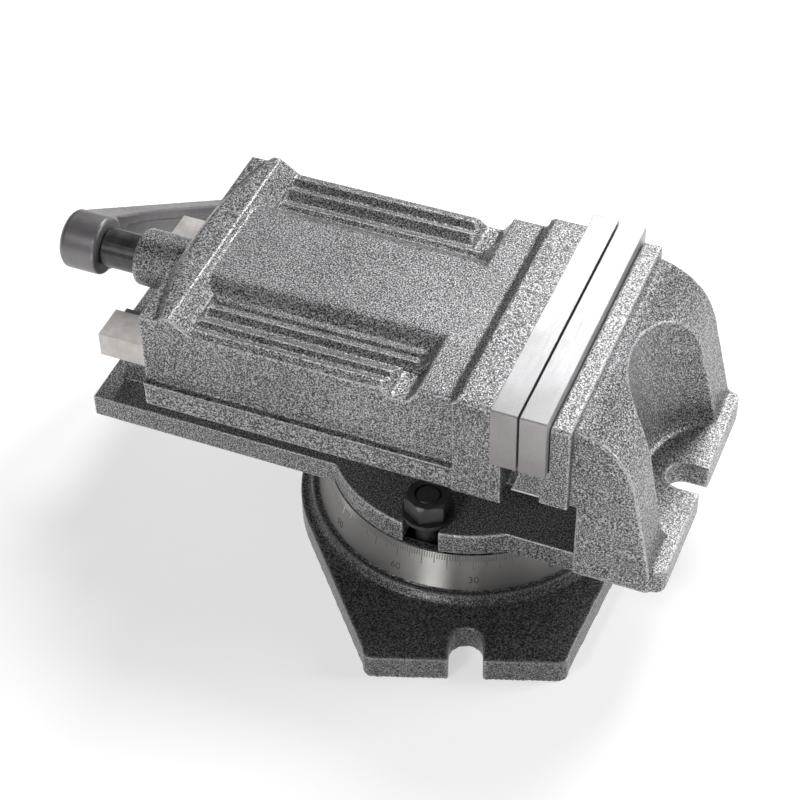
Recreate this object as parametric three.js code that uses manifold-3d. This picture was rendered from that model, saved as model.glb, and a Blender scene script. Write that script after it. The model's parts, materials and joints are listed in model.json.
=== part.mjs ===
// Swivel-base machine vise: a movable jaw drawn along flat guideways by a screw that turns in its end wall,
// a body with an integral fixed jaw, and a graduated base on which the body turns.
// Millimetres, +Z up. Origin on the table plane at the swivel axis, +X from the crank end to the fixed jaw.
import * as THREE from "three";
import { mergeVertices } from "three/addons/utils/BufferGeometryUtils.js";
import Module from "manifold-3d";

// ---- Driving dimensions ----
const GAP = 0.3; // between pieces that touch
const FIT = 0.15; // between a pin or thread and its hole
const JAW_WIDTH = 160;
const PLATE = { height: 38, thick: 14, bottom: 121, edge: 0.8 };
const JAW_FACE_X = 54; // clamping face of the fixed jaw plate
const JAW_GAP = 1.2; // between the two plates when the vise is closed
const SCREW_Z = 122.4; // height of the screw axis
const SCREW_R = 9;

const BASE = { thick: 15.5, ringR: 95, earU: 128, earHalf: 54, corner: 7, slotU: 115, slotWidth: 18 };
const BASE_TURN = -70.7; // degrees from the body to the base, the vise as set
const DIAL = { footR: 84.6, footZ: 21, topR: 78.4, topZ: 41.4 };
const BEAD = { grooveR: 85.2, grooveZ: 19.2, crestR: 87.4, crestZ: 20.4, footR: 91 };
const TSLOT = { r: 65, neck: 16, head: 25, floorZ: 18, shoulderZ: 31, entryHalf: 13 };
const PIVOT = { r: 15, floorZ: 8, topZ: 51 };

const DISC = { r: 78, bottomZ: 41.7, topZ: 56, notch: 20, notchR: 56 };
const LEDGE = { leftX: -206, leftHalf: 50.5, rightX: 83, rightHalf: 65, bottomZ: 42.3 };
const NECK = { leftX: -196, half: 31, rightX: 84 };
const WAY = { leftX: -195, half: 53, bottomZ: 94, topZ: 109 };
const CHANNEL = { half: 21, floorZ: 92, rightX: 45, upperHalf: 32, upperZ: 100.5 };
const FOOT = { rightX: 131, half: 71.5, bottomZ: 50.5, topZ: 65, slotX: 119.5, slotWidth: 18, corner: 7 };
const HEAD = { topZ: 152.3, half: 75.3, seatX: 64, rearX: 79, bottomZ: 98, corner: 1.5 };
const SILL = { leftX: 46.5, topX: 54, half: 68, bottomZ: 94, topZ: 120.7 };
const HUMP = { half: 73.5, topHalf: 69, topZ: 149.8, footX: 82.5, rearX: 123.2 };
const HUMP_SHOULDER = { x: 112.5, z: 116 };
const HUMP_PULL = { startX: 95, startZ: 145.5, endX: 107.5, endZ: 137 };
const SCOOP = { r: 54.7, topX: 141.5, topZ: 150, footX: 150.5 };
const SCOOP_FILLET = [[2.6, 1.3], [1.2, 3], [0.4, 4.6]]; // [distance inside the wall, height above the foot]

const JAW = { leftX: -158, wallX: -150, frontX: JAW_FACE_X - JAW_GAP - PLATE.thick - GAP, toeX: 43 };
const JAW_UNDER_Z = WAY.topZ + GAP;
const JAW_INNER = WAY.half + 0.5;
const JAW_SIDE = { bottomZ: 88, ledgeZ: 105, half: 74, panelHalf: 71, lip: 75, topZ: 150.5, inner: JAW_INNER };
const JAW_BLOCK = { x: 16.8, half: 75, topZ: 154 };
const RAMP = { startX: 14.3, endX: 19.3, half: 69 }; // from the jaw's top up to the block's
const RIM = { topZ: 149.2, beadZ: 152.5, beadX: -140, beadFootX: -130 };
const BOW = { r: 240, x: -158.6, slope: 3.5 }; // the bead's crank side, seen from above
const POCKET = { rightX: -3, panelHalf: 26, footHalf: 40, floorHalf: 41.5, corner: 8 };
const POCKET_Z = { floor: 142.2, rail: 146.3 };
// The pocket's end towards the block: [distance from rightX, height above the floor].
const POCKET_END = [[9.5, 0.3], [6.5, 2], [3, 5.6], [1.2, 7.4]];
// The low ribs between each pocket and the jaw edge: [distance from the middle, height], from the inside out.
const RIBS = [[45.8, 143.5], [50.6, 141.2], [57.3, 144.4], [61, 142.5], [65.8, 145.3], [71, 144.2]];
const NOTCH = { leftX: -25, slope: 7, corner: 6, floor: 140.3 };
const CAVITY = { half: 24, topZ: 140, rightX: 15 };
const BOSS = { r: 16, leftX: -192.5, rootR: 20.5 };
const GIB = { inner: 36, outer: 70.7, rebate: 71, rebateZ: 94, flangeZ: 88, leftX: -150, rightX: 35 };
const GIB_SCREW = { y: 67, r: 2.5, length: 16, headR: 3.7, headLength: 3, holeTopZ: 106 };
const GIB_SCREW_XS = [-130, -57, 16];
const PLATE_SCREW = { y: 50, z: PLATE.bottom + PLATE.height / 2, r: 4, length: 21, headR: 6.5, headDepth: 9 };
const TAP_DEPTH = 24; // of the plate screws' holes behind the plates

const NUT = { leftX: -143.2, blockX: -113, rightX: -81, flangeZ: 100, topZ: 138, corner: 6 };
const NUT_BOLT_XS = [-104.5, -89];
const NUT_BOLT = { r: 4, length: 26, headR: 6.5, headLength: 8, holeZ: 72 };
const COLLAR = { leftX: -147.4, rightX: -143.5, r: 14, pinR: 1.5 };
const WASHER = { leftX: -149.7, rightX: -147.7, r: 15 };
const SHANK = { r: 11, leftX: -214.6, square: 14, endX: -236.5, rightX: 12 };
const HUB = { r: 16.5, leftX: -237.5, rightX: -214.9, chamfer: 2.5 };
const CRANK = { radius: 160, angle: 31.5, endR: 13.5, endHalf: 7.5 };
const ARM = { startR: 4, startHalf: 15.6, endHalf: 12.2, outerX: -236.5, lean: 0.18, flange: 6, web: 5.2 };
const ARM_THICK = { root: 19, bar: 12, end: 11.6, barR: 58 };
const GRIP = { leftX: -192, rightX: -122, r: 12, waist: 3.2, swell: 4.2, bore: 5.6, pinR: 5 };
const CLAMP = { boltR: 7, washerR: 14, washerThick: 2.6, nutAcross: 22, nutHeight: 11, topZ: 69.6 };
const T_HEAD = { half: TSLOT.head / 2 - 1.4, deep: 9 };

// ---- Materials ----
const standard = (color, roughness, metalness) =>
  new THREE.MeshStandardMaterial({ color, roughness, metalness });
const hammerPaint = () => standard(0x66686c, 0.45, 0.55);
const groundSteel = () => standard(0xb9b7b3, 0.35, 0.9);
const blackSteel = () => standard(0x26272a, 0.4, 0.8);
const forgedSteel = () => standard(0x4c4a4d, 0.5, 0.7);
const bronze = () => standard(0x9a7440, 0.4, 0.9);

// ---- Solids ----
const wasm = await Module();
wasm.setup();

// A closed geometry as a manifold solid, its faces turned outwards.
function solid(geometry) {
  const bare = geometry.clone();
  bare.deleteAttribute("normal");
  bare.deleteAttribute("uv");
  const merged = mergeVertices(bare, 1e-4);
  const vertProperties = merged.attributes.position.array;
  const triVerts = new Uint32Array(merged.index.array);
  const made = new wasm.Manifold(new wasm.Mesh({ numProp: 3, vertProperties, triVerts }));
  if (made.volume() > 0) return made;
  return new wasm.Manifold(new wasm.Mesh({ numProp: 3, vertProperties, triVerts: triVerts.reverse() }));
}

function geometryOf(made) {
  const mesh = made.getMesh();
  const geometry = new THREE.BufferGeometry();
  geometry.setAttribute("position", new THREE.BufferAttribute(mesh.vertProperties, 3));
  geometry.setIndex(new THREE.BufferAttribute(mesh.triVerts, 1));
  const flat = geometry.toNonIndexed();
  flat.computeVertexNormals();
  return flat;
}

const join = (...solids) => solids.reduce((a, b) => a.add(b));
const cut = (from, ...tools) => tools.reduce((a, b) => a.subtract(b), from);

// A closed outline from [x, y] or [x, y, radius] corners; a radius rounds its corner.
function outline(corners) {
  const shape = new THREE.Shape();
  const count = corners.length;
  corners.forEach(([x, y, radius = 0], i) => {
    const corner = new THREE.Vector2(x, y);
    const before = new THREE.Vector2(...corners[(i + count - 1) % count].slice(0, 2));
    const after = new THREE.Vector2(...corners[(i + 1) % count].slice(0, 2));
    const start = corner.clone().add(before.sub(corner).setLength(radius));
    const end = corner.clone().add(after.sub(corner).setLength(radius));
    if (i === 0) shape.moveTo(start.x, start.y);
    else shape.lineTo(start.x, start.y);
    if (radius > 0) shape.quadraticCurveTo(x, y, end.x, end.y);
  });
  shape.closePath();
  return shape;
}

const AXES = {
  x: [new THREE.Vector3(0, 1, 0), new THREE.Vector3(0, 0, 1), new THREE.Vector3(1, 0, 0)],
  y: [new THREE.Vector3(0, 0, 1), new THREE.Vector3(1, 0, 0), new THREE.Vector3(0, 1, 0)],
  z: [new THREE.Vector3(1, 0, 0), new THREE.Vector3(0, 1, 0), new THREE.Vector3(0, 0, 1)],
};

// A prism along one axis. Its outline is in (y, z) along x, (z, x) along y, and (x, y) along z.
function prism(axis, shape, from, to, curveSegments = 5) {
  const geometry = new THREE.ExtrudeGeometry(shape, { depth: to - from, bevelEnabled: false, curveSegments });
  geometry.translate(0, 0, from);
  return solid(geometry.applyMatrix4(new THREE.Matrix4().makeBasis(...AXES[axis])));
}

function box(x0, x1, y0, y1, z0, z1) {
  const geometry = new THREE.BoxGeometry(x1 - x0, y1 - y0, z1 - z0);
  return solid(geometry.translate((x0 + x1) / 2, (y0 + y1) / 2, (z0 + z1) / 2));
}

// A body of revolution about the line through `centre` along an axis, from [radius, height] points.
function turned(axis, profile, centre = [0, 0, 0], segments = 32) {
  const points = profile.map(([r, h]) => new THREE.Vector2(r, h));
  const geometry = new THREE.LatheGeometry(points, segments).rotateX(Math.PI / 2);
  geometry.applyMatrix4(new THREE.Matrix4().makeBasis(...AXES[axis]));
  return solid(geometry.translate(...centre));
}

const rod = (axis, r, from, to, centre, segments) =>
  turned(axis, [[0, from], [r, from], [r, to], [0, to]], centre, segments);

const tube = (axis, r, bore, from, to, centre, segments) =>
  turned(axis, [[bore, from], [r, from], [r, to], [bore, to], [bore, from]], centre, segments);

const slab = (from, to, [half, z0, z1]) => box(from, to, -half, half, z0, z1);

const screwAxis = [0, 0, SCREW_Z];

function baseOutline() {
  const { ringR, earU, earHalf, corner } = BASE;
  const reach = Math.hypot(earU, earHalf);
  const tangent = Math.atan2(earHalf, earU) + Math.acos(ringR / reach);
  const shape = new THREE.Shape();
  shape.moveTo(earU, -earHalf + corner);
  shape.lineTo(earU, earHalf - corner);
  shape.quadraticCurveTo(earU, earHalf, earU - corner, earHalf);
  shape.absarc(0, 0, ringR, tangent, Math.PI - tangent, false);
  shape.lineTo(-earU + corner, earHalf);
  shape.quadraticCurveTo(-earU, earHalf, -earU, earHalf - corner);
  shape.lineTo(-earU, -earHalf + corner);
  shape.quadraticCurveTo(-earU, -earHalf, -earU + corner, -earHalf);
  shape.absarc(0, 0, ringR, Math.PI + tangent, 2 * Math.PI - tangent, false);
  shape.lineTo(earU - corner, -earHalf);
  shape.quadraticCurveTo(earU, -earHalf, earU, -earHalf + corner);
  return shape;
}

// A slot that opens towards +X: a round end at x, and parallel sides out to `to`.
function openSlot(x, to, width, z0, z1) {
  const half = width / 2;
  return join(rod("z", half, z0, z1, [x, 0, 0], 24), box(x, to, -half, half, z0, z1));
}

// The dial's cone with the cast bead that runs round its foot.
function dialCone() {
  const low = BASE.thick - 1;
  const profile = [
    [0, low],
    [BEAD.footR, low],
    [BEAD.footR, BASE.thick],
    [BEAD.crestR + 1.2, BEAD.crestZ - 0.5],
    [BEAD.crestR, BEAD.crestZ],
    [BEAD.crestR - 1.2, BEAD.crestZ - 0.4],
    [BEAD.grooveR, BEAD.grooveZ],
    [DIAL.footR, DIAL.footZ],
    [DIAL.topR, DIAL.topZ],
    [0, DIAL.topZ],
  ];
  return turned("z", profile, [0, 0, 0], 72);
}

function swivelBase() {
  const plate = prism("z", baseOutline(), 0, BASE.thick, 20);
  const top = DIAL.topZ + 1;
  const ring = (width, from, to) =>
    tube("z", TSLOT.r + width / 2, TSLOT.r - width / 2, from, to, [0, 0, 0], 48);
  const neck = ring(TSLOT.neck, TSLOT.shoulderZ - 1, top);
  const head = ring(TSLOT.head, TSLOT.floorZ, TSLOT.shoulderZ);
  const reach = TSLOT.head / 2 - GAP;
  const { entryHalf } = TSLOT;
  const entry = box(TSLOT.r - reach, TSLOT.r + reach, -entryHalf, entryHalf, TSLOT.floorZ, top);
  const bore = rod("z", PIVOT.r + GAP, PIVOT.floorZ, top);
  const slot = openSlot(BASE.slotU, BASE.earU + 1, BASE.slotWidth, -1, BASE.thick + 1);
  const made = cut(join(plate, dialCone()), neck, head, entry, bore, slot, slot.rotate([0, 0, 180]));
  return made.rotate([0, 0, BASE_TURN]);
}

const pivotPin = () =>
  turned("z", [
    [0, PIVOT.floorZ + GAP],
    [PIVOT.r, PIVOT.floorZ + GAP],
    [PIVOT.r, PIVOT.topZ - 1.5],
    [PIVOT.r - 1.5, PIVOT.topZ],
    [0, PIVOT.topZ],
  ]);

// The side view of the ribs behind the fixed jaw, in (z, x).
function humpOutline() {
  const { topZ, footX, rearX } = HUMP;
  const { startX, startZ, endX, endZ } = HUMP_PULL;
  const shape = new THREE.Shape();
  shape.moveTo(FOOT.bottomZ, footX);
  shape.lineTo(HEAD.bottomZ, footX);
  shape.lineTo(HEAD.bottomZ, HEAD.rearX - 1);
  shape.lineTo(topZ, HEAD.rearX - 1);
  shape.lineTo(topZ, HEAD.rearX);
  shape.bezierCurveTo(startZ, startX, endZ, endX, HUMP_SHOULDER.z, HUMP_SHOULDER.x);
  shape.lineTo(FOOT.topZ, rearX);
  shape.lineTo(FOOT.bottomZ, rearX);
  return shape;
}

// The round hollow behind the fixed jaw, with a fillet where its wall meets the foot.
function scoop() {
  const { r, topX, topZ, footX } = SCOOP;
  const tilt = THREE.MathUtils.radToDeg(Math.atan2(footX - topX, topZ - FOOT.topZ));
  const layer = (inside, from, to) => {
    const bar = rod("z", r - inside, -150, 80, [0, 0, 0], 64).rotate([0, -tilt, 0]);
    return bar.translate([topX, 0, topZ]).intersect(box(0, 300, -100, 100, FOOT.topZ + from, to));
  };
  const steps = SCOOP_FILLET.map(([inside, height], i) =>
    layer(inside, i === 0 ? 0 : SCOOP_FILLET[i - 1][1] - 0.1, FOOT.topZ + height),
  );
  return join(...steps, layer(0, SCOOP_FILLET.at(-1)[1] - 0.1, 200));
}

function fixedJaw() {
  const { half, topZ, bottomZ, seatX, rearX, corner } = HEAD;
  const wallX = JAW_FACE_X + PLATE.thick + GAP;
  const wallSection = outline([
    [-half, bottomZ],
    [half, bottomZ],
    [half, topZ, corner],
    [-half, topZ, corner],
  ]);
  const draft = outline([
    [-HUMP.half, FOOT.bottomZ],
    [HUMP.half, FOOT.bottomZ],
    [HUMP.topHalf, HUMP.topZ + 1],
    [-HUMP.topHalf, HUMP.topZ + 1],
  ]);
  const wall = prism("x", wallSection, wallX, rearX);
  const seat = slab(seatX, wallX + 1, [half, bottomZ, SILL.topZ]);
  const sillSide = outline([
    [SILL.bottomZ, SILL.leftX],
    [SILL.topZ, SILL.topX],
    [SILL.topZ, seatX + 1],
    [bottomZ, HUMP.footX + 1],
    [SILL.bottomZ, HUMP.footX + 1],
  ]);
  const sill = prism("y", sillSide, -SILL.half, SILL.half);
  const ribs = prism("y", humpOutline(), -HUMP.half, HUMP.half, 12);
  const hump = ribs.intersect(prism("x", draft, HEAD.rearX - 1, HUMP.rearX + 1));
  return cut(join(wall, seat, sill, hump), scoop());
}

function footPlate() {
  const { rightX, half, bottomZ, topZ, corner } = FOOT;
  const plan = outline([
    [LEDGE.rightX, -half],
    [rightX, -half, corner],
    [rightX, half, corner],
    [LEDGE.rightX, half],
  ]);
  return prism("z", plan, bottomZ, topZ);
}

const footSlot = () => openSlot(FOOT.slotX, FOOT.rightX + 1, FOOT.slotWidth, FOOT.bottomZ - 1, FOOT.topZ + 1);

// A notch in the disc's edge for the shank of one T-bolt, drawn towards -Y.
function boltNotch() {
  const half = DISC.notch / 2;
  const low = DISC.bottomZ - 1;
  const high = DISC.topZ + 1;
  const round = rod("z", half, low, high, [0, -DISC.notchR - half, 0], 24);
  return join(round, box(-half, half, -DISC.r - 1, -DISC.notchR - half, low, high));
}

function viseBody() {
  const { topZ } = DISC;
  const disc = rod("z", DISC.r, DISC.bottomZ, topZ, [0, 0, 0], 72);
  const ledgeLeft = slab(LEDGE.leftX, 0, [LEDGE.leftHalf, LEDGE.bottomZ, topZ]);
  const ledgeRight = slab(0, LEDGE.rightX + 1, [LEDGE.rightHalf, LEDGE.bottomZ, topZ]);
  const neck = slab(NECK.leftX, NECK.rightX, [NECK.half, topZ - 1, WAY.bottomZ + 1]);
  const ways = slab(WAY.leftX, SILL.leftX + 1, [WAY.half, WAY.bottomZ, WAY.topZ]);
  const { upperHalf, upperZ } = CHANNEL;
  const channel = join(
    slab(LEDGE.leftX, CHANNEL.rightX, [CHANNEL.half, CHANNEL.floorZ, WAY.topZ + 1]),
    slab(LEDGE.leftX, CHANNEL.rightX, [upperHalf, upperZ, WAY.topZ + 1]),
  );
  const bore = rod("z", PIVOT.r + GAP, DISC.bottomZ - 1, PIVOT.topZ + 1);
  const notch = boltNotch();
  const nutHoles = NUT_BOLT_XS.map((x) =>
    rod("z", NUT_BOLT.r + GAP, NUT_BOLT.holeZ, CHANNEL.floorZ + 1, [x, 0, 0], 20),
  );
  const wallX = JAW_FACE_X + PLATE.thick;
  const plateHoles = [-1, 1].map((end) => plateScrewHole(wallX, wallX + TAP_DEPTH, end));
  const casting = join(disc, ledgeLeft, ledgeRight, neck, ways, fixedJaw(), footPlate());
  const notches = [notch, notch.rotate([0, 0, 180])];
  return cut(casting, channel, bore, ...notches, footSlot(), ...nutHoles, ...plateHoles);
}

// ---- Jaw plates and their screws ----
const plateScrewHole = (from, to, end) =>
  rod("x", PLATE_SCREW.r + GAP, from, to, [0, end * PLATE_SCREW.y, PLATE_SCREW.z], 20);

// A plate with two counterbored holes; its clamping face is at x, and it lies towards `side`.
function jawPlate(x, side) {
  const half = JAW_WIDTH / 2;
  const { bottom, height, thick, edge } = PLATE;
  const section = outline([
    [-half, bottom, edge],
    [half, bottom, edge],
    [half, bottom + height, edge],
    [-half, bottom + height, edge],
  ]);
  const low = Math.min(x, x + side * thick);
  const seat = x + side * (PLATE_SCREW.headDepth + GAP);
  const holes = [-1, 1].flatMap((end) => {
    const centre = [0, end * PLATE_SCREW.y, PLATE_SCREW.z];
    const [from, to] = [x - side, seat].sort((a, b) => a - b);
    const counterbore = rod("x", PLATE_SCREW.headR + GAP, from, to, centre, 24);
    return [plateScrewHole(low - 1, low + thick + 1, end), counterbore];
  });
  return cut(prism("x", section, low, low + thick, 1), ...holes);
}

// A socket-head screw pointing along +X from the origin under its head.
function socketScrew({ r, length, headR }, headLength) {
  const profile = [
    [0, length],
    [r - 0.6, length],
    [r, length - 0.8],
    [r, 0],
    [headR, 0],
    [headR, -headLength],
    [0, -headLength],
  ];
  const hex = rod("x", headR * 0.5, -headLength - 1, -headLength * 0.45, [0, 0, 0], 6);
  return cut(turned("x", profile, [0, 0, 0], 14), hex);
}

function plateScrew(x, side, end) {
  const seat = x + side * PLATE_SCREW.headDepth;
  return socketScrew(PLATE_SCREW, PLATE_SCREW.headDepth - 1)
    .rotate([0, 0, side > 0 ? 0 : 180])
    .translate([seat, end * PLATE_SCREW.y, PLATE_SCREW.z]);
}

// The jaw's outline across its travel: an apron down each side of the guideways, with a ledge at mid height.
function jawSection({ half, topZ, upperHalf }) {
  const { bottomZ, ledgeZ, lip, inner } = JAW_SIDE;
  const right = [
    [inner, JAW_UNDER_Z],
    [inner, GIB.rebateZ],
    [GIB.rebate, GIB.rebateZ],
    [GIB.rebate, bottomZ],
    [half, bottomZ, 2.6],
    [half, ledgeZ - 2.6],
    [lip, ledgeZ - 1.2],
    [lip, ledgeZ],
    [upperHalf, ledgeZ + 0.8],
    [upperHalf, topZ, 1.6],
  ];
  const left = right.map(([y, z, radius]) => [-y, z, radius]).reverse();
  return outline([...right, ...left]);
}

// The long hollow on each side of the panel: a slope that steepens outwards, a flat floor and a low rail.
function pocketCutter(side) {
  const { panelHalf, footHalf, floorHalf, rightX, corner } = POCKET;
  const { floor, rail } = POCKET_Z;
  const { topZ } = JAW_SIDE;
  const out = JAW_SIDE.half + 1;
  const above = topZ + 5;
  const shape = new THREE.Shape();
  shape.moveTo(panelHalf, above);
  shape.lineTo(panelHalf, topZ);
  shape.quadraticCurveTo(footHalf - 6, topZ, footHalf, floor + 0.8);
  shape.lineTo(floorHalf, floor);
  RIBS.forEach(([y, z]) => shape.lineTo(y, z));
  shape.lineTo(out, RIBS.at(-1)[1]);
  shape.lineTo(out, above);
  const leftX = RIM.beadX - 5;
  const trough = prism("x", shape, leftX, rightX);
  const endWall = outline([
    [floor - 2, leftX],
    [floor - 2, rightX - POCKET_END[0][0]],
    ...POCKET_END.map(([inside, height]) => [floor + height, rightX - inside]),
    [topZ, rightX],
    [above, rightX],
    [above, leftX],
  ]);
  const plan = outline([
    [leftX, panelHalf - 2],
    [leftX, out],
    [rightX, out],
    [rightX, panelHalf - 2, corner],
  ]);
  const spill = outline([
    [rail, NOTCH.leftX],
    [NOTCH.floor, NOTCH.leftX + NOTCH.slope],
    [NOTCH.floor, rightX - NOTCH.corner],
    [topZ - 2, rightX],
    [above, rightX],
    [above, NOTCH.leftX],
  ]);
  const shaped = trough.intersect(prism("y", endWall, 0, out));
  const hollow = shaped.intersect(prism("z", plan, floor - 2, above + 1));
  const made = join(hollow, prism("y", spill, floorHalf + 8, out));
  return side > 0 ? made : made.mirror([0, 1, 0]);
}

// The raised bead across the crank end of the jaw: straight on the panel side, a sloping bow on the other.
function rimBead() {
  const { topZ, beadZ, beadX, beadFootX } = RIM;
  const half = JAW_SIDE.panelHalf;
  const foot = POCKET_Z.floor - 3;
  const profile = [
    [0, foot],
    [BOW.r, foot],
    [BOW.r, topZ],
    [BOW.r - BOW.slope, beadZ],
    [0, beadZ],
  ];
  const bow = turned("z", profile, [BOW.x + BOW.r, 0, 0], 180);
  const side = outline([
    [foot, JAW.leftX],
    [beadZ, JAW.leftX],
    [beadZ, beadX],
    [foot + 6, beadFootX],
    [foot, beadFootX],
  ]);
  return bow.intersect(prism("y", side, -half, half));
}

function screwBoss() {
  const { r, leftX, rootR } = BOSS;
  const profile = [
    [0, leftX],
    [r - 2, leftX],
    [r - 0.6, leftX + 0.6],
    [r, leftX + 2],
    [r, JAW.leftX - 6],
    [r + 1.6, JAW.leftX - 1.6],
    [rootR, JAW.leftX],
    [rootR, JAW.leftX + 1],
    [0, JAW.leftX + 1],
  ];
  return turned("x", profile, screwAxis, 40);
}

function movableJaw() {
  const { leftX, wallX, frontX, toeX } = JAW;
  const wide = JAW_BLOCK.half + 1;
  const high = JAW_BLOCK.topZ + 1;
  const mainSection = jawSection({ half: JAW_SIDE.half, topZ: JAW_SIDE.topZ, upperHalf: JAW_SIDE.panelHalf });
  const blockSection = jawSection({ half: JAW_BLOCK.half, topZ: JAW_BLOCK.topZ, upperHalf: JAW_BLOCK.half });
  const main = prism("x", mainSection, leftX, JAW_BLOCK.x + 1);
  const climb = [[JAW_SIDE.topZ, RAMP.startX], [JAW_BLOCK.topZ, RAMP.endX]];
  const rampTop = [[JAW_SIDE.topZ - 1, RAMP.endX], [JAW_SIDE.topZ - 1, RAMP.startX]];
  const ramp = prism("y", outline([...climb, ...rampTop]), -RAMP.half, RAMP.half);
  const overRamp = prism("y", outline([...climb, [high, RAMP.endX], [high, RAMP.startX]]), -wide, wide);
  const block = cut(prism("x", blockSection, JAW_BLOCK.x, frontX), overRamp);
  const underPlate = slab(frontX - 1, toeX, [wide, 0, PLATE.bottom - GAP]);
  const toe = prism("x", blockSection, frontX - 1, toeX).intersect(underPlate);
  const bossLow = rod("x", BOSS.r, leftX, wallX, screwAxis, 40);
  const rimStep = slab(leftX - 1, RIM.beadX, [wide, RIM.topZ, high]);
  const cavity = slab(wallX, CAVITY.rightX, [CAVITY.half, CHANNEL.floorZ, CAVITY.topZ]);
  const bore = rod("x", SCREW_R + GAP, BOSS.leftX - 1, wallX + 1, screwAxis, 32);
  const plateHoles = [-1, 1].map((end) => plateScrewHole(frontX - TAP_DEPTH, frontX + 1, end));
  const gibHoles = GIB_SCREW_XS.flatMap((x) =>
    [-1, 1].map((side) => gibScrewHole(x, side, GIB.rebateZ - 1, GIB_SCREW.holeTopZ)),
  );
  const shell = join(cut(main, rimStep, pocketCutter(1), pocketCutter(-1)), rimBead(), ramp, block, toe);
  return cut(join(cut(shell, cavity), screwBoss(), bossLow), bore, ...plateHoles, ...gibHoles);
}

const gibScrewHole = (x, side, from, to) =>
  rod("z", GIB_SCREW.r + GAP, from, to, [x, side * GIB_SCREW.y, 0], 16);

// A strip that holds the movable jaw down: screwed up into the apron, it reaches in under the guideway.
function gib(side) {
  const { inner, outer, rebateZ, flangeZ, leftX, rightX } = GIB;
  const top = rebateZ - GAP;
  const section = outline([
    [inner, flangeZ, 1],
    [outer, flangeZ, 0.6],
    [outer, top, 0.6],
    [inner, top, 1],
  ]);
  const strip = prism("x", section, leftX, rightX, 2);
  const placed = side > 0 ? strip : strip.mirror([0, 1, 0]);
  return cut(placed, ...GIB_SCREW_XS.map((x) => gibScrewHole(x, side, flangeZ - 1, rebateZ + 1)));
}

const gibScrew = (x, side) =>
  socketScrew(GIB_SCREW, GIB_SCREW.headLength)
    .rotate([0, -90, 0])
    .translate([x, side * GIB_SCREW.y, GIB.flangeZ - GAP]);

function screwNut() {
  const half = CHANNEL.half - 0.5;
  const low = CHANNEL.floorZ + GAP;
  const { leftX, blockX, rightX, flangeZ, topZ, corner } = NUT;
  const section = outline([
    [-half, low],
    [half, low],
    [half, topZ, corner],
    [-half, topZ, corner],
  ]);
  const block = prism("x", section, leftX, blockX);
  const flange = slab(leftX, rightX, [half, low, flangeZ]);
  const bore = rod("x", SCREW_R + GAP, leftX - 1, blockX + 1, screwAxis, 32);
  const holes = NUT_BOLT_XS.map((x) => rod("z", NUT_BOLT.r + GAP, low - 1, flangeZ + 1, [x, 0, 0], 20));
  return cut(join(block, flange), bore, ...holes);
}

const nutBolt = (x) =>
  socketScrew(NUT_BOLT, NUT_BOLT.headLength)
    .rotate([0, 90, 0])
    .translate([x, 0, NUT.flangeZ + GAP]);

// The hole through screw and collar for the pin that joins them.
const pinCentre = [(COLLAR.leftX + COLLAR.rightX) / 2, 0, SCREW_Z];
const collarPinHole = () => rod("y", COLLAR.pinR + FIT, -COLLAR.r - 1, COLLAR.r + 1, pinCentre, 12);

function leadScrew() {
  const { r, leftX, square, endX, rightX } = SHANK;
  const shoulderX = BOSS.leftX - GAP;
  const profile = [
    [0, leftX],
    [r - 1, leftX],
    [r, leftX + 1],
    [r, shoulderX],
    [SCREW_R, shoulderX],
    [SCREW_R, rightX - 2],
    [SCREW_R - 2, rightX],
    [0, rightX],
  ];
  const half = square / 2;
  const edge = 1.2;
  const corners = outline([
    [-half, -half, edge],
    [half, -half, edge],
    [half, half, edge],
    [-half, half, edge],
  ]);
  const tang = prism("x", corners, endX, leftX + 1, 2);
  return cut(join(turned("x", profile, screwAxis), onScrew(tang)), collarPinHole());
}

function screwCollar() {
  const ring = tube("x", COLLAR.r, SCREW_R + 0.2, COLLAR.leftX, COLLAR.rightX, screwAxis);
  return cut(ring, collarPinHole());
}

const collarPin = () => rod("y", COLLAR.pinR, 1 - COLLAR.r, COLLAR.r - 1, pinCentre, 12);

const thrustWasher = () => tube("x", WASHER.r, SCREW_R + GAP, WASHER.leftX, WASHER.rightX, screwAxis);

// ---- Crank ----
// Built with its arm along local +Y and the screw along X, then turned about the screw.
const armOuterX = (r) => ARM.outerX + ARM.lean * r;

// The arm's thickness along the screw: as wide as the hub at its root, then an even bar.
function armInnerX(r) {
  const { root, bar, end, barR } = ARM_THICK;
  const { lerp } = THREE.MathUtils;
  const thick = r < barR ? lerp(root, bar, r / barR) : lerp(bar, end, (r - barR) / (CRANK.radius - barR));
  return armOuterX(r) + thick;
}

const armHalf = (r) => THREE.MathUtils.lerp(ARM.startHalf, ARM.endHalf, r / CRANK.radius);
const endBossX = (armOuterX(CRANK.radius) + armInnerX(CRANK.radius)) / 2;
const gripCentre = [0, CRANK.radius, 0];

function armBar() {
  const { startR } = ARM;
  const { radius } = CRANK;
  const side = outline([
    [startR, -armHalf(startR)],
    [radius, -armHalf(radius)],
    [radius, armHalf(radius)],
    [startR, armHalf(startR)],
  ]);
  const across = outline([
    [armOuterX(startR), startR],
    [armOuterX(radius), radius],
    [armInnerX(radius), radius],
    [armInnerX(ARM_THICK.barR), ARM_THICK.barR],
    [armInnerX(startR), startR],
  ]);
  return prism("x", side, ARM.outerX - 1, 0).intersect(prism("z", across, -20, 20));
}

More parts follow.
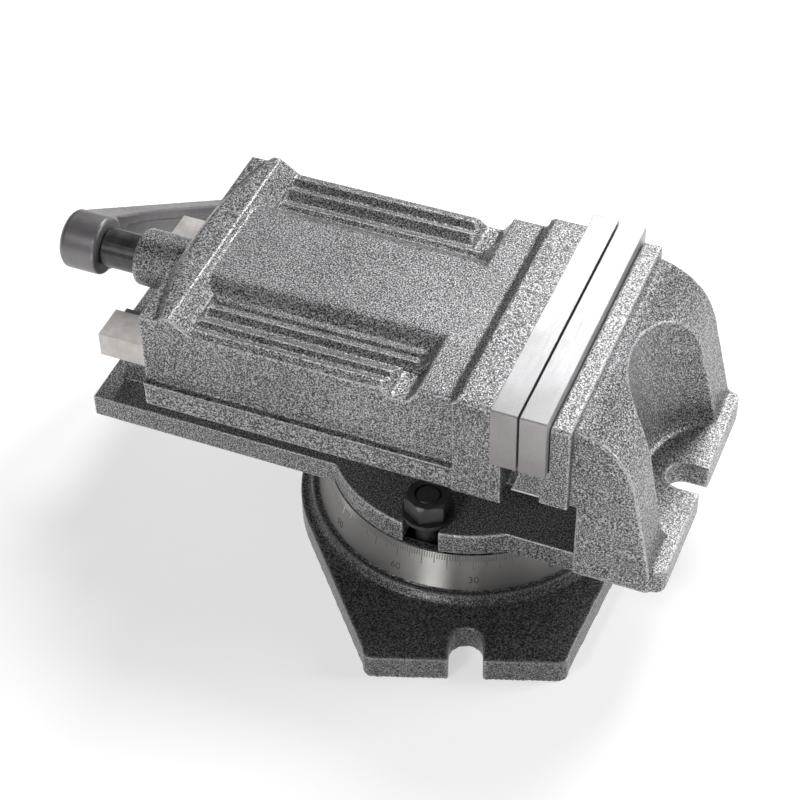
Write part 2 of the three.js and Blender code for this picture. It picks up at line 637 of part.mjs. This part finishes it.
// The hollow on one face of the arm that leaves an I-section; `face` is 1 on the side of the vise.
function armHollow(face) {
  const r0 = HUB.r + 7;
  const r1 = CRANK.radius - CRANK.endR - 5;
  const middle = (r) => (armOuterX(r) + armInnerX(r)) / 2 + (face * ARM.web) / 2;
  const past = face * ARM_THICK.root;
  const across = outline([
    [middle(r0), r0],
    [middle(r1), r1],
    [middle(r1) + past, r1],
    [middle(r0) + past, r0],
  ]);
  const half = (r) => armHalf(r) - ARM.flange;
  const side = outline([
    [r0, -half(r0), 5],
    [r1, -half(r1), 4],
    [r1, half(r1), 4],
    [r0, half(r0), 5],
  ]);
  return prism("z", across, -20, 20).intersect(prism("x", side, ARM.outerX - ARM_THICK.root, 0));
}

function crankHandle() {
  const { endR, endHalf } = CRANK;
  const { r, leftX, rightX, chamfer } = HUB;
  const hubProfile = [
    [0, leftX],
    [r - chamfer, leftX],
    [r, leftX + chamfer],
    [r, rightX - 1],
    [r - 1, rightX],
    [0, rightX],
  ];
  const endProfile = [
    [0, endBossX - endHalf],
    [endR - 1.5, endBossX - endHalf],
    [endR, endBossX - endHalf + 1.5],
    [endR, endBossX + endHalf - 1.5],
    [endR - 1.5, endBossX + endHalf],
    [0, endBossX + endHalf],
  ];
  const hub = turned("x", hubProfile, [0, 0, 0], 40);
  const end = turned("x", endProfile, gripCentre);
  const arm = cut(armBar(), armHollow(1), armHollow(-1));
  const half = SHANK.square / 2 + GAP;
  const socket = box(leftX - 1, rightX + 1, -half, half, -half, half);
  const eye = rod("x", GRIP.pinR + GAP, endBossX - endHalf - 1, endBossX + endHalf + 1, gripCentre, 24);
  return cut(join(hub, end, arm), socket, eye);
}

// The pin that carries the grip: a head past the grip's free end, and a riveted head on the arm's outer face.
function gripPin() {
  const outer = endBossX - CRANK.endHalf;
  const { rightX, pinR } = GRIP;
  const profile = [
    [0, outer - 2.8],
    [pinR + 1.5, outer - 2],
    [pinR + 2, outer - GAP],
    [pinR, outer - GAP],
    [pinR, rightX + GAP],
    [pinR + 3, rightX + GAP],
    [pinR + 3, rightX + 2.5],
    [pinR + 1.5, rightX + 3.5],
    [0, rightX + 3.5],
  ];
  return turned("x", profile, gripCentre, 24);
}

function crankGrip() {
  const { leftX, rightX, r, waist, swell, bore } = GRIP;
  const edge = 1.5;
  const bulge = Array.from({ length: 9 }, (_, i) => {
    const t = i / 8;
    const height = leftX + edge + (rightX - leftX - 2 * edge) * t;
    return [r - waist + swell * Math.sin(Math.PI * (0.12 + 0.76 * t)), height];
  });
  const ends = r - waist + 0.2;
  const profile = [[bore, leftX], [ends, leftX], ...bulge, [ends, rightX], [bore, rightX], [bore, leftX]];
  return turned("x", profile, gripCentre, 28);
}

const onScrew = (made) => made.rotate([-CRANK.angle, 0, 0]).translate(screwAxis);

// ---- Swivel clamp ----
// Each of these is drawn on the Z axis and moved out to the T-slot; `end` is -1 near, 1 far.
const clampAt = (made, end) => made.translate([0, end * TSLOT.r, 0]);

function tBolt(end) {
  const { boltR, topZ } = CLAMP;
  const { half, deep } = T_HEAD;
  const top = TSLOT.shoulderZ - GAP;
  const head = box(-half, half, -half, half, top - deep, top);
  const profile = [
    [0, top - 1],
    [boltR, top - 1],
    [boltR, topZ - 1],
    [boltR - 1, topZ],
    [0, topZ],
  ];
  return clampAt(join(head, turned("z", profile, [0, 0, 0], 24)), end);
}

function clampWasher(end) {
  const low = DISC.topZ + GAP;
  return clampAt(tube("z", CLAMP.washerR, CLAMP.boltR + GAP, low, low + CLAMP.washerThick), end);
}

function clampNut(end) {
  const { boltR, washerThick, nutAcross, nutHeight } = CLAMP;
  const bottom = DISC.topZ + washerThick + 2 * GAP;
  const top = bottom + nutHeight;
  const corner = nutAcross / Math.sqrt(3);
  const crown = [
    [0, bottom],
    [corner, bottom],
    [corner, top - 1.6],
    [nutAcross / 2, top],
    [0, top],
  ];
  const hex = rod("z", corner, bottom, top, [0, 0, 0], 6);
  const bore = rod("z", boltR + FIT, bottom - 1, top + 1, [0, 0, 0], 24);
  return clampAt(cut(hex.intersect(turned("z", crown, [0, 0, 0], 36)), bore), end);
}

// ---- Assembly ----
const movablePlateX = JAW_FACE_X - JAW_GAP;
const SIDES = [["near", -1], ["far", 1]];

const pieces = [
  ["swivel_base", swivelBase(), hammerPaint()],
  ["pivot_pin", pivotPin(), groundSteel()],
  ["vise_body", viseBody(), hammerPaint()],
  ["fixed_jaw_plate", jawPlate(JAW_FACE_X, 1), groundSteel()],
  ["screw_nut", screwNut(), bronze()],
  ["movable_jaw", movableJaw(), hammerPaint()],
  ["movable_jaw_plate", jawPlate(movablePlateX, -1), groundSteel()],
  ["thrust_washer", thrustWasher(), bronze()],
  ["lead_screw", leadScrew(), blackSteel()],
  ["screw_collar", screwCollar(), blackSteel()],
  ["collar_pin", collarPin(), blackSteel()],
  ["crank_handle", onScrew(crankHandle()), forgedSteel()],
  ["grip_pin", onScrew(gripPin()), blackSteel()],
  ["crank_grip", onScrew(crankGrip()), forgedSteel()],
];
NUT_BOLT_XS.forEach((x, i) => pieces.push([`nut_bolt_${i + 1}`, nutBolt(x), blackSteel()]));
for (const [name, end] of SIDES) {
  pieces.push([`fixed_plate_screw_${name}`, plateScrew(JAW_FACE_X, 1, end), blackSteel()]);
  pieces.push([`movable_plate_screw_${name}`, plateScrew(movablePlateX, -1, end), blackSteel()]);
  pieces.push([`gib_${name}`, gib(end), groundSteel()]);
  GIB_SCREW_XS.forEach((x, i) => pieces.push([`gib_screw_${name}_${i + 1}`, gibScrew(x, end), blackSteel()]));
  pieces.push([`t_bolt_${name}`, tBolt(end), blackSteel()]);
  pieces.push([`clamp_washer_${name}`, clampWasher(end), blackSteel()]);
  pieces.push([`clamp_nut_${name}`, clampNut(end), blackSteel()]);
}

const vise = new THREE.Group();
vise.name = "machine_vise";
for (const [name, made, material] of pieces) {
  const mesh = new THREE.Mesh(geometryOf(made), material);
  mesh.name = name;
  vise.add(mesh);
}

export default vise;
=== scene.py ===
"""Looks of a swivel-base machine vise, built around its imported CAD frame. Metres, +Z up."""

import json
import math

import bmesh
import bpy
from mathutils import Matrix, Vector


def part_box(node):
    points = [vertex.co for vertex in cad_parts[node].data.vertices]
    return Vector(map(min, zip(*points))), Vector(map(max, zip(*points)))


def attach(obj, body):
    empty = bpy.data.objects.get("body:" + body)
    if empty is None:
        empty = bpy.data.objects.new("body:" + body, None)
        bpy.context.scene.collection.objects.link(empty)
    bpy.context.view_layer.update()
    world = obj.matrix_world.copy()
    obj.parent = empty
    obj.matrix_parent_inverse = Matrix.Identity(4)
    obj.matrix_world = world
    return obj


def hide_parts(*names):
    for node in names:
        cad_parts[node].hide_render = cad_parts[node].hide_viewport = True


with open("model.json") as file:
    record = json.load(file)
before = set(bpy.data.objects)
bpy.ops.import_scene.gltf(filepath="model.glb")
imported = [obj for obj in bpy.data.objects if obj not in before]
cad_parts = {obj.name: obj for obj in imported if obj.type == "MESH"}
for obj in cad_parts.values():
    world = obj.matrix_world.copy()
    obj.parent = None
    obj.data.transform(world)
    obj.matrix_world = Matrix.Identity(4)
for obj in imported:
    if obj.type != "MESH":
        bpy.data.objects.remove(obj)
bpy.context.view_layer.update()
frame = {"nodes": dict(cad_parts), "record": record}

MM = 0.001


def show(obj):
    """Links an object to the scene, if it isn't there yet."""
    if obj.name not in bpy.context.scene.collection.objects:
        bpy.context.scene.collection.objects.link(obj)
    return obj


# ---- Camera ----
# The lens and the sensor are in millimetres of film, and the angles in degrees.
CAMERA = {
    "lens": 101.17,
    "sensor": 36,
    "azimuth": 22.832,
    "elevation": 44.501,
    "roll": -1.259,
    "target": (-0.0438, 0.0041, 0.060),
    "distance": 1.2392,
    "nearest": 0.05,
}


def place_camera():
    azimuth, elevation, roll = (math.radians(CAMERA[k]) for k in ("azimuth", "elevation", "roll"))
    back = Vector(
        (
            math.sin(azimuth) * math.cos(elevation),
            -math.cos(azimuth) * math.cos(elevation),
            math.sin(elevation),
        )
    )
    right = Vector((math.cos(azimuth), math.sin(azimuth), 0))
    up = back.cross(right)
    turned_right = right * math.cos(roll) + up * math.sin(roll)
    turned_up = up * math.cos(roll) - right * math.sin(roll)
    data = bpy.data.cameras.new("camera")
    data.lens = CAMERA["lens"]
    data.sensor_width = CAMERA["sensor"]
    data.clip_start = CAMERA["nearest"]
    camera = show(bpy.data.objects.new("camera", data))
    rotation = Matrix((turned_right, turned_up, back)).transposed().to_4x4()
    place = Vector(CAMERA["target"]) + back * CAMERA["distance"]
    camera.matrix_world = Matrix.Translation(place) @ rotation
    bpy.context.scene.camera = camera


# ---- Materials ----
NOISE_SPAN = (0.3, 0.7)  # nearly all values of a noise lie between these


class Look:
    """One procedural material, with short ways to add and join its nodes."""

    def __init__(self, name):
        self.material = bpy.data.materials.new(name)
        self.material.use_nodes = True
        self.tree = self.material.node_tree
        self.shader = self.tree.nodes["Principled BSDF"]
        self.coordinates = self.add("ShaderNodeTexCoord").outputs["Object"]

    def add(self, kind, inputs=None):
        node = self.tree.nodes.new(kind)
        for key, value in (inputs or {}).items():
            self.feed(value, node.inputs[key])
        return node

    def feed(self, value, socket):
        if isinstance(value, bpy.types.NodeSocket):
            self.tree.links.new(value, socket)
        else:
            socket.default_value = value

    def set(self, **inputs):
        """Feeds the shader. Base_Color stands for its socket Base Color."""
        for key, value in inputs.items():
            self.feed(value, self.shader.inputs[key.replace("_", " ")])

    def noise(self, scale, detail=2.0, roughness=0.5, distortion=0.0, vector=None):
        inputs = {
            "Vector": vector or self.coordinates,
            "Scale": scale,
            "Detail": detail,
            "Roughness": roughness,
            "Distortion": distortion,
        }
        return self.add("ShaderNodeTexNoise", inputs).outputs["Fac"]

    def stretched(self, scale):
        """The object's coordinates, scaled along each axis."""
        inputs = {"Vector": self.coordinates, "Scale": scale}
        return self.add("ShaderNodeMapping", inputs).outputs["Vector"]

    def ramp(self, factor, stops):
        node = self.add("ShaderNodeValToRGB", {"Fac": factor})
        elements = node.color_ramp.elements
        while len(elements) < len(stops):
            elements.new(0.5)
        for element, (position, color) in zip(elements, stops):
            element.position = position
            element.color = (*color, 1)
        return node.outputs["Color"]

    def two_tone(self, noise, dark, light):
        return self.ramp(noise, list(zip(NOISE_SPAN, (dark, light))))

    def levels(self, value, span, low, high):
        """Turns the values of `span` into low to high."""
        inputs = {
            "Value": value,
            "From Min": span[0],
            "From Max": span[1],
            "To Min": low,
            "To Max": high,
        }
        return self.add("ShaderNodeMapRange", inputs).outputs["Result"]

    def plus(self, a, b):
        node = self.add("ShaderNodeMath")
        node.operation = "ADD"
        self.feed(a, node.inputs[0])
        self.feed(b, node.inputs[1])
        return node.outputs[0]

    def bump(self, height, distance, strength):
        inputs = {"Height": height, "Distance": distance, "Strength": strength}
        return self.add("ShaderNodeBump", inputs).outputs["Normal"]


def grey(value):
    """A grey with a trace of blue."""
    return (value, value, value * 1.02)


def hammertone(name, tone):
    """Hammer-finish paint: a fine relief with lighter ridges, and convex edges lightened in
    colour as a painted highlight; `tone` scales how light it is.
    """
    look = Look(name)
    flakes = look.noise(1250, detail=1.5, roughness=0.55, distortion=0.35)
    broad = look.noise(16)
    # Pointiness lightens the base colour along convex edges. This is a painted highlight for the
    # light that rounded cast edges catch, and it feeds the colour only, not the bump.
    painted_edge_highlight = look.add("ShaderNodeNewGeometry").outputs["Pointiness"]
    height = look.plus(flakes, look.levels(broad, NOISE_SPAN, -0.02, 0.02))
    height = look.plus(height, look.levels(painted_edge_highlight, (0.505, 0.55), 0, 0.2))
    stops = [(0.36, 0.022), (0.46, 0.085), (0.54, 0.27), (0.66, 0.56)]
    look.set(
        Base_Color=look.ramp(height, [(at, grey(value * tone)) for at, value in stops]),
        Metallic=0.5,
        Roughness=look.levels(flakes, (0.35, 0.65), 0.52, 0.36),
        Normal=look.bump(flakes, 0.35 * MM, 0.9),
        Coat_Weight=0.35,
        Coat_Roughness=0.2,
    )
    return look.material


def ground_steel(name, dark, light, grain):
    """Ground steel. The grinding marks are narrow along the axes where `grain` is large."""
    look = Look(name)
    grinding = look.noise(60, detail=8, roughness=0.7, vector=look.stretched(grain))
    cloud = look.noise(30, detail=3)
    speck = look.noise(900, detail=3, roughness=0.7)
    tone = look.plus(cloud, look.levels(speck, NOISE_SPAN, -0.12, 0.12))
    look.set(
        Base_Color=look.two_tone(tone, dark, light),
        Metallic=0.8,
        Roughness=look.levels(grinding, NOISE_SPAN, 0.42, 0.56),
        Normal=look.bump(grinding, 0.02 * MM, 0.4),
    )
    return look.material


def bare_iron():
    look = Look("machined iron")
    milling = look.noise(90, detail=6, roughness=0.65, vector=look.stretched((1, 14, 14)))
    stain = look.noise(45, detail=5, roughness=0.7)
    look.set(
        Base_Color=look.ramp(stain, [(0.35, (0.46, 0.42, 0.4)), (0.65, (0.7, 0.66, 0.64))]),
        Metallic=0.6,
        Roughness=look.levels(milling, NOISE_SPAN, 0.4, 0.6),
        Normal=look.bump(milling, 0.04 * MM, 0.5),
    )
    return look.material


def dial_steel():
    """Turned steel, whose fine rings draw a light out into an upright streak."""
    look = Look("turned dial steel")
    rings = look.noise(300, detail=6, roughness=0.7, vector=look.stretched((0.02, 0.02, 6)))
    cloud = look.noise(25, detail=4)
    look.set(
        Base_Color=look.two_tone(cloud, (0.26, 0.25, 0.24), (0.34, 0.33, 0.32)),
        Metallic=1.0,
        Roughness=look.levels(rings, NOISE_SPAN, 0.3, 0.42),
        Anisotropic=0.9,
        Anisotropic_Rotation=0.25,
        Normal=look.bump(rings, 0.03 * MM, 0.4),
    )
    return look.material


def engraving():
    """The stained floor of the dial's marks."""
    look = Look("dial marks")
    stain = look.noise(400, detail=3)
    look.set(
        Base_Color=look.two_tone(stain, (0.05, 0.047, 0.046), (0.1, 0.096, 0.093)),
        Metallic=0.2,
        Roughness=0.6,
    )
    return look.material


def black_oxide():
    look = Look("black oxide steel")
    wear = look.noise(120, detail=5, roughness=0.6)
    look.set(
        Base_Color=look.two_tone(wear, grey(0.055), grey(0.12)),
        Metallic=0.7,
        Roughness=look.levels(wear, NOISE_SPAN, 0.28, 0.42),
        Normal=look.bump(wear, 0.02 * MM, 0.3),
    )
    return look.material


def forged_steel():
    look = Look("dark cast steel")
    skin = look.noise(260, detail=4, roughness=0.6)
    cloud = look.noise(22, detail=3)
    look.set(
        Base_Color=look.two_tone(cloud, (0.17, 0.16, 0.168), (0.26, 0.25, 0.258)),
        Metallic=0.55,
        Roughness=look.levels(skin, NOISE_SPAN, 0.36, 0.5),
        Normal=look.bump(skin, 0.06 * MM, 0.5),
    )
    return look.material


def bronze():
    look = Look("machined bronze")
    turning = look.noise(150, detail=5)
    look.set(
        Base_Color=look.two_tone(turning, (0.42, 0.27, 0.13), (0.6, 0.42, 0.22)),
        Metallic=0.9,
        Roughness=look.levels(turning, NOISE_SPAN, 0.3, 0.45),
        Normal=look.bump(turning, 0.02 * MM, 0.3),
    )
    return look.material


PAINT = hammertone("hammertone paint", 1.0)
# The base's copy of the paint at half tone is painted shade. It is darker to stand in for the
# shadow the base lies in under the vise.
SHADED_BASE_PAINT = hammertone("hammertone paint with painted shade", 0.5)
IRON = bare_iron()
MARKS = engraving()
STEEL = ground_steel("ground steel", (0.4, 0.395, 0.4), (0.5, 0.495, 0.505), (24, 1, 24))
STEEL_END = ground_steel("ground steel ends", (0.27, 0.25, 0.25), (0.36, 0.34, 0.34), (1, 24, 24))
DIAL_STEEL = dial_steel()
BLACK = black_oxide()
FORGED = forged_steel()
BRONZE = bronze()


# ---- Mesh tools ----
WELD = {"distance": 0.002 * MM, "angle": 0.5}  # the angle is in degrees
BEVEL = {"segments": 2, "angle": 35, "sharp": 20}  # the angles are in degrees
PLATE_EDGE = 0.3 * MM
MACHINED_EDGE = 0.35 * MM

# How a casting gets its round edges: the size of the remesh's voxels, the rounds of smoothing,
# and the share of faces that is left.
BASE_CAST = {"voxel": 0.9 * MM, "rounds": 2, "keep": 0.3}
BODY_CAST = {"voxel": 0.8 * MM, "rounds": 2, "keep": 0.25}
JAW_CAST = {"voxel": 0.75 * MM, "rounds": 2, "keep": 0.25}
CRANK_CAST = {"voxel": 0.8 * MM, "rounds": 4, "keep": 0.5}


def add_piece(obj, material, body, slot, *nodes):
    """Puts a new piece in the scene, finished and riding on its body, in place of CAD nodes."""
    show(obj)
    obj.data.materials.clear()
    obj.data.materials.append(material)
    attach(obj, body)
    if nodes:
        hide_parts(*nodes)


def mesh_object(name, fill):
    """A new object whose mesh the function `fill` builds in a bmesh."""
    mesh = bpy.data.meshes.new(name)
    bm = bmesh.new()
    fill(bm)
    bmesh.ops.recalc_face_normals(bm, faces=bm.faces)
    bm.to_mesh(mesh)
    bm.free()
    return bpy.data.objects.new(name, mesh)


def copy_node(node, name):
    """A copy of a CAD node's mesh with its split corners and coplanar triangles joined again."""
    source = frame["nodes"][node].data
    flat = math.radians(WELD["angle"])

    def fill(bm):
        bm.from_mesh(source)
        bmesh.ops.remove_doubles(bm, verts=bm.verts, dist=WELD["distance"])
        bmesh.ops.dissolve_limit(bm, angle_limit=flat, verts=bm.verts, edges=bm.edges)

    return mesh_object(name, fill)


def box_object(low, high):
    def fill(bm):
        size = [b - a for a, b in zip(low, high)]
        middle = [(a + b) / 2 for a, b in zip(low, high)]
        made = bmesh.ops.create_cube(bm, size=1)["verts"]
        bmesh.ops.scale(bm, vec=size, verts=made)
        bmesh.ops.translate(bm, vec=middle, verts=made)

    return mesh_object("cutter", fill)


def join_rings(bm, rings):
    """Joins each ring of vertices to the next, all round. Lists (ring, place in it, face)."""
    made = []
    for i, ring in enumerate(rings):
        following = rings[(i + 1) % len(rings)]
        for j, vert in enumerate(ring):
            k = (j + 1) % len(ring)
            made.append((i, j, bm.faces.new((vert, following[j], following[k], ring[k]))))
    return made


def lathe(name, outline, segments=96):
    """A ring turned about +Z from a closed outline of (radius, height) points."""

    def fill(bm):
        rings = []
        for i in range(segments):
            angle = 2 * math.pi * i / segments
            cos, sin = math.cos(angle), math.sin(angle)
            rings.append([bm.verts.new((r * cos, r * sin, z)) for r, z in outline])
        join_rings(bm, rings)

    return mesh_object(name, fill)


def apply_modifiers(obj):
    show(obj)
    graph = bpy.context.evaluated_depsgraph_get()
    made = bpy.data.meshes.new_from_object(obj.evaluated_get(graph), depsgraph=graph)
    obj.modifiers.clear()
    obj.data = made


def boolean(obj, tool, operation):
    """Cuts `obj` with `tool`, which is used up."""
    modifier = obj.modifiers.new("cut", "BOOLEAN")
    modifier.operation = operation
    modifier.object = show(tool)
    modifier.solver = "EXACT"
    apply_modifiers(obj)
    bpy.data.objects.remove(tool)


def soften(obj, voxel, rounds, keep):
    """Cast edges: an even remesh, smoothed until every edge is round, then thinned."""
    remesh = obj.modifiers.new("remesh", "REMESH")
    remesh.mode = "VOXEL"
    remesh.voxel_size = voxel
    smooth = obj.modifiers.new("smooth", "SMOOTH")
    smooth.factor = 0.5
    smooth.iterations = rounds
    thin = obj.modifiers.new("thin", "DECIMATE")
    thin.ratio = keep
    apply_modifiers(obj)
    obj.data.shade_smooth()


def bevel(obj, width):
    """Rounds the edges of a machined piece a little, and keeps its faces flat."""
    modifier = obj.modifiers.new("bevel", "BEVEL")
    modifier.width = width
    modifier.segments = BEVEL["segments"]
    modifier.limit_method = "ANGLE"
    modifier.angle_limit = math.radians(BEVEL["angle"])
    obj.data.shade_smooth()
    apply_modifiers(obj)
    obj.data.set_sharp_from_angle(angle=math.radians(BEVEL["sharp"]))


# ---- Dial ----
# The dial is the machined cone of the base, so its skin is a piece of its own. The ends of the
# cone are (radius, height).
base_low, base_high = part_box("swivel_base")
DIAL_FOOT = (84.6 * MM, 21 * MM)
DIAL_TOP = (78.4 * MM, base_high.z)
DIAL_SLANT = math.dist(DIAL_FOOT, DIAL_TOP)
DIAL_THICK = 0.9 * MM
DIAL_CLEARANCE = 2 * MM  # how far its cutter reaches outside the cone
DIAL_ZERO = -38.6  # azimuth of the dial's zero, in degrees

# A mark starts `top` below the cone's edge and ends in a steep wall. Its flat floor is a share
# of its width.
MARK = {"width": 0.6 * MM, "floor": 0.2, "depth": 0.22 * MM, "top": 0.5 * MM, "wall": 0.1 * MM}
TEN_MARK, FIVE_MARK, ONE_MARK = 8.6 * MM, 6.4 * MM, 3.7 * MM
NUMBER = {"step": 30, "size": 5.8 * MM, "down": 17 * MM, "proud": 0.05 * MM}


def dial_section(grow):
    """The cone's shell; `grow` makes it a cutter that reaches outside the surface."""
    (foot_r, foot_z), (top_r, top_z) = DIAL_FOOT, DIAL_TOP
    return [
        (foot_r + grow, foot_z),
        (top_r + grow, top_z + grow),
        (top_r - DIAL_THICK, top_z + grow),
        (foot_r - DIAL_THICK, foot_z),
    ]


def on_dial(azimuth, down, inward):
    """The point at an azimuth in radians, this far down the cone and this deep in it."""
    (foot_r, foot_z), (top_r, top_z) = DIAL_FOOT, DIAL_TOP
    slope = Vector((foot_r - top_r, foot_z - top_z)).normalized()
    r = top_r + slope.x * down + slope.y * inward
    z = top_z + slope.y * down - slope.x * inward
    return Vector((r * math.cos(azimuth), r * math.sin(azimuth), z))


def mark_length(degree):
    if degree % 10 == 0:
        return TEN_MARK
    return FIVE_MARK if degree % 5 == 0 else ONE_MARK


def mark_columns():
    """Four columns to each mark: an azimuth, and how far down its groove reaches."""
    edge = MARK["width"] / 2 / DIAL_TOP[0]
    floor = edge * MARK["floor"]
    columns = []
    for degree in range(360):
        middle = math.radians(DIAL_ZERO - degree)
        length = mark_length(degree)
        columns += [
            (middle + edge, 0),
            (middle + floor, length),
            (middle - floor, length),
            (middle - edge, 0),
        ]
    return columns


def dial_ring():
    """The cone's skin, with a groove at each degree that hangs from its top edge."""
    rows = [0, MARK["top"]]
    for length in (ONE_MARK, FIVE_MARK, TEN_MARK):
        rows += [length, length + MARK["wall"]]
    rows.append(DIAL_SLANT)
    columns = mark_columns()

    def column(azimuth, length):
        depths = [MARK["depth"] if MARK["top"] <= down <= length else 0 for down in rows]
        outer = [on_dial(azimuth, down, depth) for down, depth in zip(rows, depths)]
        return outer + [on_dial(azimuth, down, DIAL_THICK) for down in (DIAL_SLANT, 0)]

    def fill(bm):
        rings = [[bm.verts.new(point) for point in column(*place)] for place in columns]
        for i, j, face in join_rings(bm, rings):
            reach = max(columns[i][1], columns[(i + 1) % len(columns)][1])
            in_groove = 1 <= j < len(rows) - 1 and rows[j + 1] <= reach
            face.material_index = int(in_groove)

    ring = mesh_object("dial_ring", fill)
    add_piece(ring, DIAL_STEEL, "base", "ground_steel")
    ring.data.materials.append(MARKS)


def dial_numbers():
    """The numbers under every third ten-degree mark, one mesh laid on the cone."""
    made = bmesh.new()
    for degree in range(0, 360, NUMBER["step"]):
        curve = bpy.data.curves.new("number", "FONT")
        curve.body = str(degree)
        curve.align_x = "CENTER"
        curve.size = NUMBER["size"]
        curve.extrude = NUMBER["proud"]
        curve.resolution_u = 3
        text = bpy.data.objects.new("number", curve)
        start = len(made.verts)
        made.from_mesh(text.to_mesh())
        made.verts.ensure_lookup_table()
        azimuth = math.radians(DIAL_ZERO - degree)
        for vert in made.verts[start:]:
            x, y, z = vert.co
            vert.co = on_dial(azimuth + x / DIAL_TOP[0], NUMBER["down"] - y, -z)
        text.to_mesh_clear()
        bpy.data.objects.remove(text)
        bpy.data.curves.remove(curve)
    mesh = bpy.data.meshes.new("dial_numbers")
    made.to_mesh(mesh)
    made.free()
    add_piece(bpy.data.objects.new("dial_numbers", mesh), MARKS, "base", "ground_steel")


# ---- Castings ----
def swivel_base():
    casting = copy_node("swivel_base", "base_casting")
    boolean(casting, lathe("cutter", dial_section(DIAL_CLEARANCE)), "DIFFERENCE")
    soften(casting, **BASE_CAST)
    # The base casting gets the half-tone paint, which is painted shade for the shadow under the
    # vise.
    add_piece(casting, SHADED_BASE_PAINT, "base", "hammer_paint", "swivel_base")
    dial_ring()
    dial_numbers()


# The boxes round the body's bare machined stretches, which are pieces of their own.
WAYS = (Vector((-0.196, -0.0535, 0.094)), Vector((0.0464, 0.0535, 0.110)))
SILL_EDGE = (Vector((0.0464, -0.0685, 0.0935)), Vector((0.0645, 0.0685, 0.0953)))


def machined(name, low, high):
    """The part of the body inside a box, as a bare machined piece."""
    piece = copy_node("vise_body", name)
    boolean(piece, box_object(low, high), "INTERSECT")
    bevel(piece, MACHINED_EDGE)
    add_piece(piece, IRON, "body", "gib_iron")


def vise_body():
    casting = copy_node("vise_body", "body_casting")
    boolean(casting, box_object(*WAYS), "DIFFERENCE")
    boolean(casting, box_object(*SILL_EDGE), "DIFFERENCE")
    soften(casting, **BODY_CAST)
    add_piece(casting, PAINT, "body", "hammer_paint", "vise_body")
    machined("guideways", *WAYS)
    machined("sill_edge", *SILL_EDGE)


def movable_jaw():
    casting = copy_node("movable_jaw", "jaw_casting")
    soften(casting, **JAW_CAST)
    add_piece(casting, PAINT, "jaw", "hammer_paint", "movable_jaw")


def crank():
    casting = copy_node("crank_handle", "crank_casting")
    soften(casting, **CRANK_CAST)
    add_piece(casting, FORGED, "crank", "forged_steel", "crank_handle")


# ---- Jaw plates and the nodes that stay ----
END_FACE = 0.7  # a plate's face is an end when its normal has more than this of Y


def jaw_plates():
    for side, body in (("fixed", "body"), ("movable", "jaw")):
        node = f"{side}_jaw_plate"
        plate = copy_node(node, f"{side}_plate")
        bevel(plate, PLATE_EDGE)
        add_piece(plate, STEEL, body, "ground_steel", node)
        plate.data.materials.append(STEEL_END)
        for face in plate.data.polygons:
            face.material_index = int(abs(face.normal.y) > END_FACE)


def finish_nodes():
    """Gives each CAD node its material. Those that no piece replaces keep their shape."""
    finishes = {
        "black_steel": BLACK,
        "ground_steel": STEEL,
        "gib_iron": IRON,
        "bronze": BRONZE,
        "forged_steel": FORGED,
        "hammer_paint": PAINT,
    }
    for part in frame["record"]["subparts"]:
        materials = frame["nodes"][part["node"]].data.materials
        materials.clear()
        materials.append(finishes[part["material_slot"]])


# ---- Floor and light ----
WHITE = (1, 1, 1, 1)
FLOOR = {"half": 6, "grey": (0.7, 0.7, 0.7, 1), "roughness": 0.95, "glow": 0.55}
SKY_STRENGTH = 0.08
MIDDLE = (-0.05, 0, 0.1)
NEAR_DIAL = (0.0, -0.08, 0.04)

# Name, place, aim, size and watts of each light.
LIGHTS = (
    ("key", (2.3, 1.2, 1.35), MIDDLE, 1.2, 42),
    ("back", (0.0, 1.9, 1.9), MIDDLE, 1.2, 52),
    ("front", (-0.75, -1.9, 1.75), MIDDLE, 0.45, 12),
    ("low", (-0.06, -1.08, 0.12), NEAR_DIAL, 0.26, 2.2),
)


def add_floor():
    def fill(bm):
        bmesh.ops.create_grid(bm, x_segments=1, y_segments=1, size=FLOOR["half"])

    floor = show(mesh_object("floor", fill))
    look = Look("pale floor")
    look.set(
        Base_Color=FLOOR["grey"],
        Roughness=FLOOR["roughness"],
        Emission_Color=WHITE,
        Emission_Strength=FLOOR["glow"],
    )
    floor.data.materials.append(look.material)


def add_light(name, place, aim, size, watts):
    data = bpy.data.lights.new(name, "AREA")
    data.size = size
    data.energy = watts
    light = show(bpy.data.objects.new(name, data))
    light.location = place
    light.rotation_euler = (Vector(aim) - Vector(place)).to_track_quat("-Z", "Y").to_euler()


def add_sky():
    world = bpy.data.worlds.new("world")
    world.use_nodes = True
    background = world.node_tree.nodes["Background"].inputs
    background["Color"].default_value = WHITE
    background["Strength"].default_value = SKY_STRENGTH
    bpy.context.scene.world = world
    bpy.context.scene.view_settings.view_transform = "Standard"


place_camera()
finish_nodes()
swivel_base()
vise_body()
movable_jaw()
crank()
jaw_plates()
add_floor()
for light in LIGHTS:
    add_light(*light)
add_sky()
